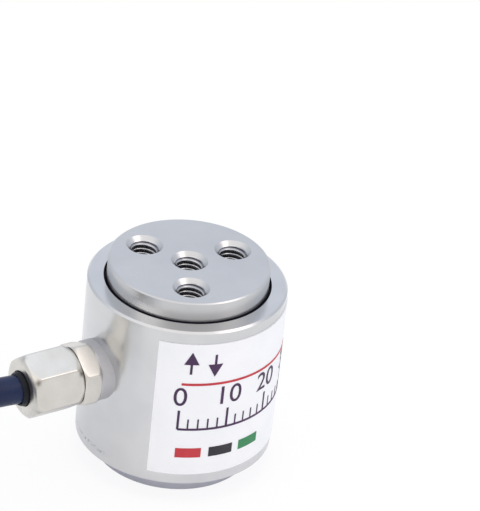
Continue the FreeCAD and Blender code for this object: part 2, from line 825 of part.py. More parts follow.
def make_cable_hank():
    """The outer shape of the hank: two lobes with eyes, drawn in at the waist, where the tie is let in."""
    body = body_for("cable_hank")
    body.setExpression("Placement.Base.x", "-dims.hank_distance")
    across = f"(dims.hank_run / 2 * (1 - {LOBE_SHARE}))"
    aside = f"(({HANK_WAIST} + {WAIST_BEND}) * {LOBE_SHARE})"
    tip = f"(dims.hank_run / 2 + {HANK_LOBE})"
    sketch = sketch_on(body, "XY_Plane", "outline")
    outline(
        sketch,
        [
            (across, f"-{aside}", HANK_LOBE, -1),
            (tip, "0", HANK_LOBE, -1),
            (across, aside, WAIST_BEND, 1),
            (f"-{across}", aside, HANK_LOBE, -1),
            (f"-{tip}", "0", HANK_LOBE, -1),
            (f"-{across}", f"-{aside}", WAIST_BEND, 1),
        ],
    )
    circle(sketch, "dims.hank_run / 2", "0", HANK_EYE)
    circle(sketch, "-dims.hank_run / 2", "0", HANK_EYE)
    turns = feature(body, "Pad", sketch, "turns", Length=HANK_HEIGHT)
    bevelled = body.newObject("PartDesign::Chamfer", "cable_hank_bevelled")
    level_faces = [
        f"Face{index}"
        for index, face in enumerate(turns.Shape.Faces, start=1)
        if face.BoundBox.ZLength < number(CABLE)
    ]
    bevelled.Base = (turns, level_faces)
    bevelled.setExpression("Size", f"(2 - sqrt(2)) * {CABLE}")
    doc.recompute()
    before = body.Shape.Volume
    band_space = sketch_on(body, "YZ_Plane", "band_space")
    beyond = f"({HANK_WAIST} + dims.cable_diameter)"
    above = f"{HANK_HEIGHT} + dims.cable_diameter"
    rectangle(band_space, f"-{beyond}", beyond, "-dims.cable_diameter", above)
    tie_hole(band_space)
    feature(body, "Pocket", band_space, "band_cut", Length="dims.tie_width", SideType="Symmetric")
    check_cut(body, before, "band_space")
    return body


def make_cable_tie():
    """A moulded tie: a band round the hank's waist and the head that locks it."""
    body = body_for("cable_tie")
    body.setExpression("Placement.Base.x", "-dims.hank_distance")
    band = rectangle(sketch_on(body, "YZ_Plane", "band"), f"-{HANK_WAIST}", HANK_WAIST, "0", HANK_HEIGHT)
    tie_hole(band)
    feature(body, "Pad", band, "band_pad", Length="dims.tie_width", SideType="Symmetric")
    middle = f"{HANK_WAIST} / 2"
    head = rectangle(
        sketch_on(body, "XY_Plane", "head", offset=HANK_HEIGHT),
        "-dims.tie_head_width / 2",
        "dims.tie_head_width / 2",
        f"-{middle} - dims.tie_head_length / 2",
        f"-{middle} + dims.tie_head_length / 2",
    )
    feature(body, "Pad", head, "head_pad", Length="dims.tie_head_height")
    return body


def hank_middle():
    return Vector(-number("dims.hank_distance"), 0, 0)


def make_cable(hank):
    """The free stretch: out of the gland, down to the surface and into the outer turn of the hank."""
    radius = number(CABLE)
    exit_point = Vector(-number(NUT_END), 0, number(GLAND_HEIGHT))
    route = [
        exit_point,
        exit_point + Vector(-11, 0, 0),
        exit_point + Vector(-19.6, -6, -6.75),
        hank_middle() + Vector(33.5, -13.2, radius),
        hank_middle() + Vector(22, -14.8, radius),
    ]
    return shape_piece("cable", tube(route, 2 * radius, "cable").cut(hank.Shape))


def make_far_end(hank):
    """The cable's last stretch on top of the hank, its shrink sleeve and the four stripped leads."""
    radius = number(CABLE)
    sleeve_radius = number("dims.end_sleeve_diameter / 2")
    layer = number(HANK_HEIGHT)
    lying = layer + sleeve_radius
    route = [
        hank_middle() + Vector(-16.5, 13.6, layer - radius),
        hank_middle() + Vector(-9.5, 8, layer + 0.9),
        hank_middle() + Vector(-1.2, 5.1, lying),
        hank_middle() + Vector(6.5, 6.9, lying),
    ]
    shape_piece("cable_tail", tube(route, 2 * radius, "cable_tail").cut(hank.Shape))

    along = (route[-1] - route[-2]).normalize()
    sideways = Vector(0, 0, 1).cross(along)
    sleeve_length = number("dims.end_sleeve_length")
    overlap = number("dims.end_sleeve_overlap")
    sleeve_start = route[-1] - along * overlap
    sleeve_end = sleeve_start + along * sleeve_length
    sleeve = Part.makeCylinder(sleeve_radius, sleeve_length, sleeve_start, along)
    jacket = Part.makeCylinder(radius, overlap, sleeve_start, along)
    shape_piece("end_sleeve", sleeve.cut(jacket))

    half = number("dims.lead_spacing / 2")
    lead_radius = number("dims.lead_diameter / 2")
    landing = sleeve_end + along * number("dims.lead_landing") + Vector(0, 0, lead_radius - sleeve_radius)
    lead_end = sleeve_end + along * number("dims.lead_length") + Vector(0, 0, lead_radius - sleeve_radius)
    tip_size = (number("dims.tip_diameter / 2"), number("dims.tip_length"))
    tips = []
    for colour, side, level, spread, end_spread in (
        ("red", -1, 1, -0.7, -1.5),
        ("black", 1, 1, 0.7, 1.3),
        ("green", -1, -1, -2.6, -4.2),
        ("white", 1, -1, 2.5, 3.8),
    ):
        route = [
            sleeve_end + sideways * side * half + Vector(0, 0, level * half),
            landing + sideways * spread,
            lead_end + sideways * end_spread,
        ]
        lead = tube(route, 2 * lead_radius, f"lead_{colour}")
        shape_piece(f"lead_{colour}", lead.cut(sleeve))
        tips.append(Part.makeCylinder(*tip_size, route[-1], route[-1] - route[-2]))
    shape_piece("lead_tips", Part.makeCompound(tips))


make_spring_element()
make_housing_sleeve()
make_gap_seal()
make_label()
make_gauges()
make_terminal_board()
make_resistors()
make_bridge_wires()
make_conductors()
make_cable_boss()
make_gland_ring()
make_gland_body()
make_cable_seal()
make_thrust_washer()
make_gland_nut()
make_cable_entry()
hank_body = make_cable_hank()
make_cable_tie()
doc.recompute()
make_cable(hank_body)
make_far_end(hank_body)
doc.recompute()

for item in doc.Objects:
    if "Invalid" in item.State or "Error" in item.State:
        raise RuntimeError(f"{item.Name} failed: {item.State}")
for piece in pieces:
    if piece.Shape.isNull() or not piece.Shape.isValid():
        raise RuntimeError(f"{piece.Label} has no valid shape")
for piece in pieces:
    piece.Shape.exportStep(os.path.join("parts", f"{piece.Label}.step"))
print(len(pieces), "pieces written")
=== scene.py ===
import json
import math

import bmesh
import bpy
import numpy as np
from mathutils import Matrix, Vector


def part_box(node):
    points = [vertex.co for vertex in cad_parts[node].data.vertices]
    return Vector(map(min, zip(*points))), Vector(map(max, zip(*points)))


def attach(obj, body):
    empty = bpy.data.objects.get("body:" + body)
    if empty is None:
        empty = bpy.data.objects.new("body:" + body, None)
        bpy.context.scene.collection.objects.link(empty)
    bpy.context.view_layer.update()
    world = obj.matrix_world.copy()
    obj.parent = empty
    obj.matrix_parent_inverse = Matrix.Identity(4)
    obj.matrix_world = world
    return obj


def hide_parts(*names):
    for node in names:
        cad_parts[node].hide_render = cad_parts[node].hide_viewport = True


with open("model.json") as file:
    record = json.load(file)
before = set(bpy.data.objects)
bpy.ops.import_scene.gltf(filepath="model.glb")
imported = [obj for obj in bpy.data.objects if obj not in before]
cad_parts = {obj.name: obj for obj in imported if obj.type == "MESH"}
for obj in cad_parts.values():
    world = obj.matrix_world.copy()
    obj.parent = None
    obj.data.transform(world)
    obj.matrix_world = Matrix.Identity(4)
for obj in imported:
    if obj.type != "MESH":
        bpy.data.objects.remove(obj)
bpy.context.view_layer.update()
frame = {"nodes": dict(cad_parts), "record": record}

# Miniature load cell: looks, threads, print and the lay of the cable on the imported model.
# Lengths are in millimetres unless a name says otherwise, and MM turns them to metres.
MM = 0.001
MERGE_DISTANCE = 0.0005
FULL_TURN = 2 * math.pi
QUARTER_TURN = math.pi / 2
X, Y, Z = range(3)
scene = bpy.context.scene


def span(node, axis):
    """Lowest and highest value of a CAD node along an axis."""
    low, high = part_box(node)
    return low[axis] / MM, high[axis] / MM


def shown(name, data):
    """A new object with that data, put in the scene."""
    made = bpy.data.objects.new(name, data)
    scene.collection.objects.link(made)
    return made


# Camera: a long lens from the front left, a little rolled
CAMERA_PLACE = (-143.56, -206.77, 173.04)
CAMERA_AZIMUTH = math.radians(-35.887)
CAMERA_ELEVATION = math.radians(30.749)
CAMERA_ROLL = math.radians(6.376)
CAMERA_SENSOR = 36.0
CAMERA_LENS = 208.77
CAMERA_CLIP_METRES = 0.01
camera = shown("camera", bpy.data.cameras.new("camera"))
camera.data.sensor_width = CAMERA_SENSOR
camera.data.lens = CAMERA_LENS
camera.data.clip_start = CAMERA_CLIP_METRES
turned = (
    Matrix.Rotation(CAMERA_AZIMUTH, 4, "Z")
    @ Matrix.Rotation(QUARTER_TURN - CAMERA_ELEVATION, 4, "X")
    @ Matrix.Rotation(CAMERA_ROLL, 4, "Z")
)
camera.matrix_world = Matrix.Translation([MM * c for c in CAMERA_PLACE]) @ turned
scene.camera = camera


# Cable: straight out of the gland, down to the floor, into the hank's turns and off their top
CABLE_DIAMETER = 2.9
CABLE_ROUND_STEPS = 5
CABLE_LONG_STEPS = 6
CABLE_ORDER = 3
GLAND_HEIGHT = sum(span("cable_entry", Z)) / 2
ROUTE = [
    (-18.4, 0.0, 11.95),
    (-24.0, 0.0, 12.5),
    (-29.4, 0.0, 11.95),
    (-38.0, -6.0, 5.2),
    (-46.5, -13.2, 1.45),
]
TAIL = [
    (-96.5, 13.6, 10.15),
    (-89.5, 8.0, 12.5),
    (-81.2, 5.1, 13.3),
    (-73.5, 6.9, 13.3),
]
HANK_MIDDLE = sum(span("cable_hank", X)) / 2
HANK_HEIGHT = span("cable_hank", Z)[1]
LOBE_RADIUS = span("cable_hank", Y)[1]
LOBE_OFFSET = span("cable_hank", X)[1] - HANK_MIDDLE - LOBE_RADIUS
WAIST_HALF = 3 * CABLE_DIAMETER
WAIST_SQUEEZE = 0.12
WAIST_SPREAD = 8.0
TURN_COLUMNS = np.array([0, 0, 1, 2, 2, 1, 0, 0, 1, 2, 2, 1, 0, 0])
TURN_LAYERS = np.array([0, 0, 0, 0, 1, 1, 1, 2, 2, 2, 3, 3, 3, 3])
WAIST_STATIONS, LOBE_STATIONS = 6, 12
FIRST_STATIONS, LAST_STATIONS = 2, 17
CLIMB_CLEARANCE = 0.3


def hank_points():
    """Control points of the hank's turns, worked out as complex numbers x + iy.

    A turn is the hank's outline drawn in by the turn's column: an arc along the waist's -Y side, an arc round
    the far lobe, and the same again turned by 180 degrees. Its layer gives its height. In the near lobe it moves
    on to the next turn's column and layer by a smooth step, and a turn that climbs keeps clear of its neighbours
    by a sine squared. The tie draws all the turns in by a bell curve along X.
    """
    waist_bend = (LOBE_OFFSET**2 + WAIST_HALF**2 - LOBE_RADIUS**2) / (2 * (LOBE_RADIUS - WAIST_HALF))
    lean = math.asin(LOBE_OFFSET / (LOBE_RADIUS + waist_bend))
    along_waist = np.arange(WAIST_STATIONS) / WAIST_STATIONS
    round_lobe = np.arange(LOBE_STATIONS) / LOBE_STATIONS
    waist_angle = QUARTER_TURN + lean * (2 * along_waist - 1)
    lobe_angle = lean - QUARTER_TURN - (math.pi + 2 * lean) * round_lobe
    way = np.exp(1j * np.concatenate([waist_angle, lobe_angle]))
    stations = [WAIST_STATIONS, LOBE_STATIONS]
    centre = np.repeat([-1j * (WAIST_HALF + waist_bend), -LOBE_OFFSET], stations)
    centre, way = np.concatenate([centre, -centre]), np.concatenate([way, -way])
    bend = np.tile(np.repeat([waist_bend, LOBE_RADIUS], stations), 2)
    inwards = np.tile(np.repeat([1, -1], stations), 2)

    moving = np.clip((np.arange(len(way)) - len(way) + LOBE_STATIONS) / LOBE_STATIONS, 0, 1)
    step = moving * moving * (3 - 2 * moving)
    climb = np.diff(TURN_LAYERS)[:, None]
    layers = TURN_LAYERS[:-1, None] + climb * step
    columns = TURN_COLUMNS[:-1, None] + np.diff(TURN_COLUMNS)[:, None] * step
    clear = CLIMB_CLEARANCE * climb * np.sin(math.pi * moving) ** 2
    columns = columns + np.where(TURN_COLUMNS[:-1, None] > 0, clear, -clear)
    place = centre + (bend + inwards * CABLE_DIAMETER * (columns + 0.5)) * way
    drawn_in = 1 - WAIST_SQUEEZE * np.exp(-((place.real / WAIST_SPREAD) ** 2))
    height = HANK_HEIGHT / 2 + (CABLE_DIAMETER * (layers + 0.5) - HANK_HEIGHT / 2) * drawn_in
    points = np.stack([HANK_MIDDLE + place.real, place.imag * drawn_in, height], axis=-1).reshape(-1, 3)
    return points[len(way) - FIRST_STATIONS : len(points) - len(way) + LAST_STATIONS]


cable_path = np.concatenate([ROUTE, hank_points(), TAIL]) * MM
cable_curve = bpy.data.curves.new("cable_in_hank", "CURVE")
cable_curve.dimensions = "3D"
cable_curve.bevel_depth = 1.0
cable_curve.bevel_resolution = CABLE_ROUND_STEPS
cable_curve.resolution_u = CABLE_LONG_STEPS
cable_curve.use_fill_caps = True
cable_spline = cable_curve.splines.new("NURBS")
cable_spline.points.add(len(cable_path) - 1)
cable_spline.points.foreach_set("co", np.column_stack([cable_path, np.ones(len(cable_path))]).ravel())
cable_spline.points.foreach_set("radius", np.full(len(cable_path), CABLE_DIAMETER / 2 * MM))
cable_spline.order_u = CABLE_ORDER
cable_spline.use_endpoint_u = True
cable = shown("cable_in_hank", cable_curve)
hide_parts("cable", "cable_hank", "cable_tail")
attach(cable, "root")


# Materials
def linear(colour):
    """A hex sRGB colour as linear RGBA."""
    parts = [int(colour[i : i + 2], 16) / 255 for i in (1, 3, 5)]
    return [c / 12.92 if c <= 0.04045 else ((c + 0.055) / 1.055) ** 2.4 for c in parts] + [1.0]


def add(material, kind, sockets, **settings):
    """Adds a node with its settings. A socket that is given an output is linked, any other value is set."""
    made = material.node_tree.nodes.new(kind)
    for name, value in settings.items():
        setattr(made, name, value)
    for name, value in sockets.items():
        if isinstance(value, bpy.types.NodeSocket):
            material.node_tree.links.new(value, made.inputs[name])
        else:
            made.inputs[name].default_value = value
    return made


def started(name):
    """A new material with an empty tree, and its Object coordinates."""
    material = bpy.data.materials.new(name)
    material.use_nodes = True
    material.node_tree.nodes.clear()
    return material, add(material, "ShaderNodeTexCoord", {}).outputs["Object"]


def ended(material, shader):
    """Links the shader to a new output."""
    add(material, "ShaderNodeOutputMaterial", {"Surface": shader})
    return material


FINE_DETAIL, BROAD_DETAIL = 3.0, 2.0

# Wear: a row of scuffs near the sleeve's foot, on the gland's side
SLEEVE_RADIUS = span("housing_sleeve", Y)[1]
SLEEVE_FOOT, RIM_HEIGHT = span("housing_sleeve", Z)
WEAR_HEIGHT = SLEEVE_FOOT + 1.2
WEAR_HALF_HEIGHT = 0.24
WEAR_MIDDLE = math.radians(-10)
WEAR_HALF_TURN = math.radians(30)
WEAR_FADE = 0.7
WEAR_DASH = 0.35
WEAR_FLATNESS = 1.5
WEAR_FROM, WEAR_FULL = 0.52, 0.6
WEAR_COLOUR = "#a2a2ac"


def worn(material, place, colour, height):
    """Short dull dashes over a colour: a noise stretched round the cell, cut off at a level, that shows only
    near a height and on the gland's side, and fades towards the ends of both."""
    x, y, z = add(material, "ShaderNodeSeparateXYZ", {0: place}).outputs
    x, y = [add(material, "ShaderNodeMath", {0: v, 1: -1.0}, operation="MULTIPLY").outputs[0] for v in (x, y)]
    turn = add(material, "ShaderNodeMath", {0: y, 1: x}, operation="ARCTAN2").outputs[0]
    along = add(material, "ShaderNodeMath", {0: turn, 1: SLEEVE_RADIUS * MM}, operation="MULTIPLY")
    up = add(material, "ShaderNodeMath", {0: z, 1: WEAR_FLATNESS}, operation="MULTIPLY")
    stretched = add(material, "ShaderNodeCombineXYZ", {"X": along.outputs[0], "Y": up.outputs[0]})
    dashes = add(
        material,
        "ShaderNodeTexNoise",
        {"Vector": stretched.outputs[0], "Scale": 1 / (WEAR_DASH * MM), "Detail": FINE_DETAIL},
        noise_dimensions="2D",
    )
    levels = {"Value": dashes.outputs[0], "From Min": WEAR_FROM, "From Max": WEAR_FULL}
    share = add(material, "ShaderNodeMapRange", levels).outputs[0]
    bands = ((z, height * MM, WEAR_HALF_HEIGHT * MM), (turn, WEAR_MIDDLE, WEAR_HALF_TURN))
    for value, middle, reach in bands:
        away = add(material, "ShaderNodeMath", {0: value, 1: middle}, operation="SUBTRACT").outputs[0]
        away = add(material, "ShaderNodeMath", {0: away}, operation="ABSOLUTE").outputs[0]
        fade = {"Value": away, "From Min": reach, "From Max": reach * WEAR_FADE}
        near = add(material, "ShaderNodeMapRange", fade).outputs[0]
        share = add(material, "ShaderNodeMath", {0: share, 1: near}, operation="MULTIPLY").outputs[0]
    sockets = {"Factor": share, "A": colour, "B": linear(WEAR_COLOUR)}
    return add(material, "ShaderNodeMix", sockets, data_type="RGBA").outputs["Result"]


# Painted shade: the dark of the gap round the loading disc and its reflection, painted on the steel that runs down
# into the gap
GAP_SHADE_HEIGHT = 0.2
GAP_SHADE_DEPTH = 2.0
GAP_SHADE_COLOUR = "#191a29"


def painted_gap_shade(material, place, colour, height):
    """Painted shade over a colour, for the dark of the gap and its reflection in the metal: full in a gap up to a
    height and thinning out a little way above it. Gives the colour and how much of the surface stays metal, which the
    painted shade takes away."""
    z = add(material, "ShaderNodeSeparateXYZ", {0: place}).outputs["Z"]
    fade = {"Value": z, "From Min": (height + GAP_SHADE_HEIGHT) * MM, "From Max": height * MM}
    thin = add(material, "ShaderNodeMapRange", fade).outputs[0]
    floor_of_gap = (height - GAP_SHADE_DEPTH) * MM
    inside = add(material, "ShaderNodeMath", {0: z, 1: floor_of_gap}, operation="GREATER_THAN").outputs[0]
    share = add(material, "ShaderNodeMath", {0: thin, 1: inside}, operation="MULTIPLY").outputs[0]
    metal_outside_shade = add(material, "ShaderNodeMath", {0: 1.0, 1: share}, operation="SUBTRACT").outputs[0]
    sockets = {"Factor": share, "A": colour, "B": linear(GAP_SHADE_COLOUR)}
    return add(material, "ShaderNodeMix", sockets, data_type="RGBA").outputs["Result"], metal_outside_shade


# Steel: how the feed lines and the handled patches share its tone, and what they do to its shine
HANDLED_PATCH = 5
LINES_SHARE = 0.15
STEEL_DARKEST, STEEL_LIGHTEST = 0.35, 0.75
STEEL_DULLEST, STEEL_SHINIEST = 1.1, 0.9
LINES_STRENGTH = 0.06
LINES_DEPTH = 0.01


def steel(name, light, dark, roughness, feed, worn_at=None, gap_shade_at=None):
    """Stainless steel off the lathe. The feed lines follow radius on a face and height on a wall, so the metal
    shows a trace of rings in its shine, and its tone changes slowly where it was handled. With a height given,
    it is worn there, where the cell has rubbed as it was stood down, or takes painted shade in a gap up to there."""
    material, place = started(name)
    flat = add(material, "ShaderNodeVectorMath", {0: place, 1: (1, 1, 0)}, operation="MULTIPLY")
    radius = add(material, "ShaderNodeVectorMath", {0: flat.outputs[0]}, operation="LENGTH")
    height = add(material, "ShaderNodeSeparateXYZ", {0: place}).outputs["Z"]
    lines_at = add(material, "ShaderNodeCombineXYZ", {"X": radius.outputs["Value"], "Y": height})
    lines = add(
        material,
        "ShaderNodeTexNoise",
        {"Vector": lines_at.outputs[0], "Scale": 1 / (feed * MM), "Detail": BROAD_DETAIL},
        noise_dimensions="2D",
    ).outputs[0]
    patches = add(
        material,
        "ShaderNodeTexNoise",
        {"Vector": place, "Scale": 1 / (HANDLED_PATCH * MM), "Detail": FINE_DETAIL},
    ).outputs[0]
    shares = {0: lines, 1: LINES_SHARE, 2: patches}
    tone = add(material, "ShaderNodeMath", shares, operation="MULTIPLY_ADD").outputs[0]
    clean = add(material, "ShaderNodeValToRGB", {"Fac": tone})
    clean.color_ramp.elements[0].position = STEEL_DARKEST
    clean.color_ramp.elements[0].color = linear(dark)
    clean.color_ramp.elements[1].position = STEEL_LIGHTEST
    clean.color_ramp.elements[1].color = linear(light)
    colour, metallic = clean.outputs[0], 1.0
    if worn_at is not None:
        colour = worn(material, place, colour, worn_at)
    # painted shade in the gap round the loading disc, where the steel also stops being metal
    if gap_shade_at is not None:
        colour, metallic = painted_gap_shade(material, place, colour, gap_shade_at)
    shine = add(
        material,
        "ShaderNodeMapRange",
        {
            "Value": tone,
            "From Min": STEEL_DARKEST,
            "From Max": STEEL_LIGHTEST,
            "To Min": roughness * STEEL_DULLEST,
            "To Max": roughness * STEEL_SHINIEST,
        },
    )
    relief = {"Height": lines, "Strength": LINES_STRENGTH, "Distance": LINES_DEPTH * MM}
    bump = add(material, "ShaderNodeBump", relief)
    metal = add(
        material,
        "ShaderNodeBsdfPrincipled",
        {
            "Base Color": colour,
            "Metallic": metallic,
            "Roughness": shine.outputs[0],
            "Normal": bump.outputs[0],
        },
    )
    return ended(material, metal.outputs[0])


# Grain: how the fine and the slow change share the tone, and what they do to the gloss
SLOW_GRAINS = 20
FINE_SHARE = 0.5
GRAIN_DARKEST, GRAIN_LIGHTEST = 0.5, 1.0
GRAIN_DULLEST, GRAIN_GLOSSIEST = 1.15, 0.85
GRAIN_STRENGTH = 0.3
DARKENED = "darkened"


def grained(name, light, dark, roughness, grain, depth, metallic=0.0, specular=0.5, shade=None):
    """A material with a fine grain of that size: two close tones, a little change of gloss and a shallow bump.
    With a shade given, the tones run into it where the piece's darkened attribute grows to 1."""
    material, place = started(name)
    fine = add(
        material,
        "ShaderNodeTexNoise",
        {"Vector": place, "Scale": 1 / (grain * MM), "Detail": FINE_DETAIL},
    ).outputs[0]
    slow = add(
        material,
        "ShaderNodeTexNoise",
        {"Vector": place, "Scale": 1 / (SLOW_GRAINS * grain * MM), "Detail": BROAD_DETAIL},
    ).outputs[0]
    tone = add(material, "ShaderNodeMath", {0: fine, 1: FINE_SHARE, 2: slow}, operation="MULTIPLY_ADD").outputs[0]
    tones = add(material, "ShaderNodeValToRGB", {"Fac": tone})
    tones.color_ramp.elements[0].position = GRAIN_DARKEST
    tones.color_ramp.elements[0].color = linear(dark)
    tones.color_ramp.elements[1].position = GRAIN_LIGHTEST
    tones.color_ramp.elements[1].color = linear(light)
    colour = tones.outputs[0]
    if shade:
        darkened = add(material, "ShaderNodeAttribute", {}, attribute_name=DARKENED).outputs["Fac"]
        sockets = {"Factor": darkened, "A": colour, "B": linear(shade)}
        colour = add(material, "ShaderNodeMix", sockets, data_type="RGBA").outputs["Result"]
    shine = add(
        material,
        "ShaderNodeMapRange",
        {
            "Value": tone,
            "From Min": GRAIN_DARKEST,
            "From Max": GRAIN_LIGHTEST,
            "To Min": roughness * GRAIN_DULLEST,
            "To Max": roughness * GRAIN_GLOSSIEST,
        },
    )
    relief = {"Height": fine, "Strength": GRAIN_STRENGTH, "Distance": depth * MM}
    bump = add(material, "ShaderNodeBump", relief)
    skin = add(
        material,
        "ShaderNodeBsdfPrincipled",
        {
            "Base Color": colour,
            "Metallic": metallic,
            "Specular IOR Level": specular,
            "Roughness": shine.outputs[0],
            "Normal": bump.outputs[0],
        },
    )
    return ended(material, skin.outputs[0])


# Each material gives its name, its light and its dark tone and its roughness. Then come, in millimetres, the lathe's
# feed for steel, and the grain and its depth for the rest.
MATERIALS = {
    # turned and ground stainless: cool grey and smooth, with fine rings in its shine and painted shade where it runs
    # down into the gap
    "stainless_turned": steel(
        "turned_stainless_steel", "#cecfd0", "#c6c7c9", 0.30, 0.1, gap_shade_at=RIM_HEIGHT
    ),
    # the same steel, finer on the sleeve: brighter and with clearer reflections, scuffed near its foot
    "stainless_sleeve": steel(
        "turned_stainless_sleeve", "#d5d6d7", "#cdced0", 0.22, 0.1, worn_at=WEAR_HEIGHT
    ),
    # the same steel on the boss, tumbled after turning: a soft grey without clear reflections
    "tumbled_boss": steel("tumbled_stainless_boss", "#cccccf", "#c2c3c6", 0.7, 0.1),
    # the same steel where a tap has cut it: bright crests over roots darkened by painted shade
    "cut_thread": grained(
        "tapped_stainless_thread", "#dcdcdd", "#b4b5b9", 0.24, 0.05, 0.004, metallic=1.0, shade="#2f3244"
    ),
    # nickel on brass: a warm light grey with a soft, even shine, rubbed dull where a spanner has slipped
    "nickel_plate": grained(
        "satin_nickel_plate", "#dcdad4", "#d1cec8", 0.32, 0.12, 0.003, metallic=1.0, shade="#6f6b64"
    ),
    # punched brass: yellow, with a soft shine
    "brass_washer": grained("plain_brass", "#c9a860", "#b08c45", 0.35, 0.15, 0.004, metallic=1.0),
    # nitrile rubber: blue-black, with a dull shine where it bulges
    "black_rubber": grained("nitrile_rubber", "#1a1d26", "#0f1118", 0.38, 0.15, 0.01, specular=0.2),
    # silicone sealant in the gap: a dull navy that keeps the gap from going quite black
    "gap_sealant": grained("navy_silicone_sealant", "#23263a", "#1b1d2d", 0.5, 0.2, 0.01, specular=0.2),
    # coated paper film: white, almost without shine
    "label_film": grained("white_label_film", "#f3f5f8", "#eef1f4", 0.5, 0.2, 0.002),
    # polyimide film: amber, with the faint mottle of the foil under it
    "gauge_film": grained("polyimide_gauge_film", "#c98a36", "#a8691f", 0.4, 0.2, 0.004),
    # glass-fibre board under solder resist: a half-gloss green in which the weave just shows
    "circuit_board": grained("green_circuit_board", "#1f6b3f", "#174f2e", 0.45, 0.25, 0.006),
    # fired ceramic: near black and matt
    "chip_resistor": grained("ceramic_chip", "#26262a", "#18181b", 0.5, 0.1, 0.004),
    # tin run over drawn copper: a bright silver grey with a thin, uneven skin
    "tinned_copper": grained("tinned_copper", "#d3d4d2", "#b9bab8", 0.3, 0.08, 0.004, metallic=1.0),
    # PVC jacket: blue-black, with the soft sheen of an extruded skin
    "cable_jacket": grained("dark_pvc_jacket", "#222e50", "#1a2340", 0.40, 0.25, 0.008, specular=0.2),
    # moulded nylon: black, with the fine grain of its mould
    "tie_nylon": grained("black_nylon", "#222226", "#151518", 0.42, 0.3, 0.008),
    # heat-shrunk sleeve: black, dull and a little uneven
    "shrink_sleeve": grained("heat_shrink_sleeve", "#1d1d20", "#121214", 0.5, 0.25, 0.01),
}
# extruded PVC on the leads: plain colours with a soft sheen
INSULATION_TONES = {
    "red": ("#c3262f", "#a81e27"),
    "black": ("#202024", "#131316"),
    "green": ("#1f8a45", "#187138"),
    "white": ("#ecebe6", "#dddcd6"),
}
for lead, tones in INSULATION_TONES.items():
    MATERIALS[f"insulation_{lead}"] = grained(f"{lead}_pvc_insulation", *tones, 0.42, 0.2, 0.006)
# printing ink on the label: flat colours with the grain of the film under them
INK_TONES = {
    "violet": ("#43204f", "#361842"),
    "red": ("#c8323c", "#b52833"),
    "green": ("#2c8a55", "#227a48"),
    "black": ("#26232b", "#1b1920"),
}
for ink, tones in INK_TONES.items():
    MATERIALS[f"ink_{ink}"] = grained(f"{ink}_ink", *tones, 0.5, 0.15, 0.002)


def dressed(piece, material):
    """The piece, with that material in place of its own."""
    piece.data.materials.clear()
    piece.data.materials.append(MATERIALS[material])
    return piece


for part in frame["record"]["subparts"]:
    dressed(frame["nodes"][part["node"]], part["material_slot"])
dressed(frame["nodes"]["cable_boss"], "tumbled_boss")
dressed(frame["nodes"]["gap_seal"], "gap_sealant")
dressed(cable, "cable_jacket")


# New pieces, from points in millimetres
SHARP_DEGREES = 35.0


def piece_of(name, points, faces, slot, material=None, replaces=(), sharp=SHARP_DEGREES):
    """A smooth piece that rides on the cell: doubles merged, faces turned outwards, edges past an angle sharp."""
    mesh = bpy.data.meshes.new(name)
    mesh.from_pydata((points * MM).tolist(), [], faces)
    shell = bmesh.new()
    shell.from_mesh(mesh)
    bmesh.ops.remove_doubles(shell, verts=shell.verts, dist=MERGE_DISTANCE * MM)
    bmesh.ops.recalc_face_normals(shell, faces=shell.faces)
    shell.to_mesh(mesh)
    shell.free()
    mesh.polygons.foreach_set("use_smooth", np.ones(len(mesh.polygons), bool))
    mesh.set_sharp_from_angle(angle=math.radians(sharp))
    piece = dressed(shown(name, mesh), material or slot)
    if replaces:
        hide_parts(*replaces)
    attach(piece, "root")
    return piece


def surface(name, grids, slot, **how):
    """A piece of one or more grids of points, rows by columns. The columns of a grid join up into rings. Where its
    last ring lies on its first, the rows close too, and otherwise the two end rings are filled."""
    points, faces, first = [], [], 0
    for grid in grids:
        rows, columns = grid.shape[:2]
        index = first + np.arange(rows * columns).reshape(rows, columns)
        after = np.roll(index, -1, axis=1)
        faces += np.stack([index[:-1], after[:-1], after[1:], index[1:]], axis=-1).reshape(-1, 4).tolist()
        if not np.allclose(grid[0], grid[-1]):
            faces += [index[0, ::-1].tolist(), index[-1].tolist()]
        points.append(grid.reshape(-1, 3))
        first += rows * columns
    return piece_of(name, np.concatenate(points), faces, slot, **how)


def vertices_of(mesh):
    """A mesh's points as rows of x, y and z, in the mesh's own unit."""
    flat = np.empty(len(mesh.vertices) * 3)
    mesh.vertices.foreach_get("co", flat)
    return flat.reshape(-1, 3)


def darken(piece, amount):
    """Writes how far each point runs into its material's shade, from 0 to 1."""
    values = piece.data.attributes.new(DARKENED, "FLOAT", "POINT").data
    values.foreach_set("value", np.clip(amount, 0, 1))


def closed(rows):
    """Rows with the first one repeated at the end."""
    return np.concatenate([rows, rows[:1]])


def divided(outline, step):
    """A closed outline of (distance, radius) corners as points about that step apart: both are read off along the
    way travelled, at the corners and at every step."""
    corners = np.array(outline + outline[:1], float)
    lengths = np.hypot(*np.diff(corners, axis=0).T)
    travelled = np.concatenate([[0], np.cumsum(lengths)])
    inner = np.arange(0, travelled[-1], step)
    at = np.unique(np.round(np.concatenate([travelled[:-1], inner]), 4))
    return np.interp(at, travelled, corners[:, 0]), np.interp(at, travelled, corners[:, 1])


# Gland: the thin hexagon with its threaded ends, and the nut with its rounded nose
HEX_FLAT = 2.95
HEX_HALF_DEGREES = 30
HEX_CORNER = HEX_FLAT / math.cos(math.radians(HEX_HALF_DEGREES))
HEX_SIDES = np.arange(6) * math.pi / 3
HEX_EDGE = 0.3
HEX_TURN = -4.0
HEX_STATIONS = 288
HEX_SHARP_DEGREES = 50.0
OUTLINE_STEP = 0.07
EDGE_BLEND = 60.0
BEYOND = 0.3
NUT_GAP = 0.05
NUT_EDGE = 0.45
NUT_EDGE_LENGTH = 0.7
NUT_FRONT = 1.7
NUT_TURN = 13.0
NUT_FACE = 2.5
NOSE_LENGTH = 0.8
NOSE_BEND = 1.4
NOSE_STATIONS = 14
MOUTH = 1.75
MOUTH_FLARE = 0.1
GLAND_THREAD = 2.3
CABLE_BORE = 1.55
SEAL_SEAT = 1.95
SEAT_DEPTH = 1.6


